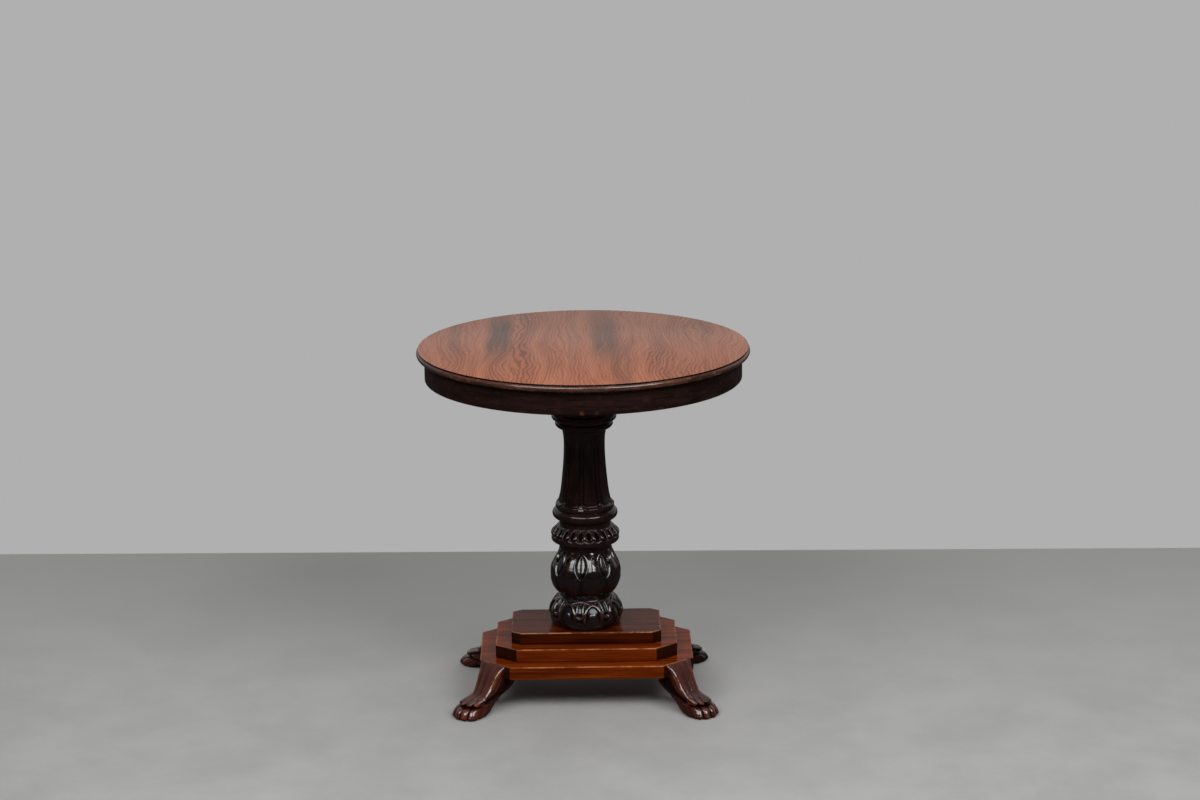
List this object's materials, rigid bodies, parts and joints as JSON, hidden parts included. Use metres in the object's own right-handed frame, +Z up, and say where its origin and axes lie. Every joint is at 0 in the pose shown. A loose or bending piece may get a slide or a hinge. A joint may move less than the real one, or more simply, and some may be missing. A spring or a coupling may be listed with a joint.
{
  "type": "pedestal table",
  "caption": "Round veneered table top with rim moulding and frieze on a turned, carved column and a stepped rectangular platform with carved paw feet.",
  "frame": {"origin": "centre of the footprint, on the floor", "axes": "+Z up, +X to the right of the picture, the front faces -Y"},
  "size_m": [0.6, 0.6, 0.66],
  "materials": {
    "figured_veneer": "polished figured veneer",
    "rim_wood": "dark polished wood",
    "frieze_wood": "dark polished wood",
    "column_wood": "dark polished carved wood",
    "platform_wood": "polished orange-brown wood",
    "paw_wood": "polished carved wood, worn on the ridges",
    "ground_wood": "bare pale wood",
    "steel": "dull steel"
  },
  "bodies": {
    "root": {"veneer_leaf_left": "figured_veneer", "veneer_leaf_mid_left": "figured_veneer", "veneer_leaf_mid_right": "figured_veneer", "veneer_leaf_right": "figured_veneer", "ground_board_front": "ground_wood", "ground_board_middle": "ground_wood", "ground_board_rear": "ground_wood", "rim_moulding_1": "rim_wood", "rim_moulding_2": "rim_wood", "rim_moulding_3": "rim_wood", "rim_moulding_4": "rim_wood", "rim_moulding_5": "rim_wood", "rim_moulding_6": "rim_wood", "frieze_segment_1": "frieze_wood", "frieze_segment_2": "frieze_wood", "frieze_segment_3": "frieze_wood", "frieze_segment_4": "frieze_wood", "frieze_segment_5": "frieze_wood", "frieze_segment_6": "frieze_wood", "bearer_left": "ground_wood", "bearer_right": "ground_wood", "hub_block": "ground_wood", "bearer_screw_front_left": "steel", "bearer_screw_front_right": "steel", "bearer_screw_rear_left": "steel", "bearer_screw_rear_right": "steel", "hub_screw_front_left": "steel", "hub_screw_front_right": "steel", "hub_screw_rear_left": "steel", "hub_screw_rear_right": "steel", "column_cap": "column_wood", "fluted_shaft": "column_wood", "leaf_collar": "column_wood", "lotus_vase": "column_wood", "base_ring": "column_wood", "spigot_wedge": "ground_wood", "upper_step": "platform_wood", "middle_step": "platform_wood", "lower_step_front": "platform_wood", "lower_step_rear": "platform_wood", "step_screw_front_left": "steel", "step_screw_front_right": "steel", "step_screw_rear_left": "steel", "step_screw_rear_right": "steel", "paw_foot_front_left": "paw_wood", "paw_foot_front_right": "paw_wood", "paw_foot_rear_left": "paw_wood", "paw_foot_rear_right": "paw_wood", "paw_dowel_front_left_a": "ground_wood", "paw_dowel_front_left_b": "ground_wood", "paw_dowel_front_right_a": "ground_wood", "paw_dowel_front_right_b": "ground_wood", "paw_dowel_rear_left_a": "ground_wood", "paw_dowel_rear_left_b": "ground_wood", "paw_dowel_rear_right_a": "ground_wood", "paw_dowel_rear_right_b": "ground_wood"}
  },
  "joints": []
}
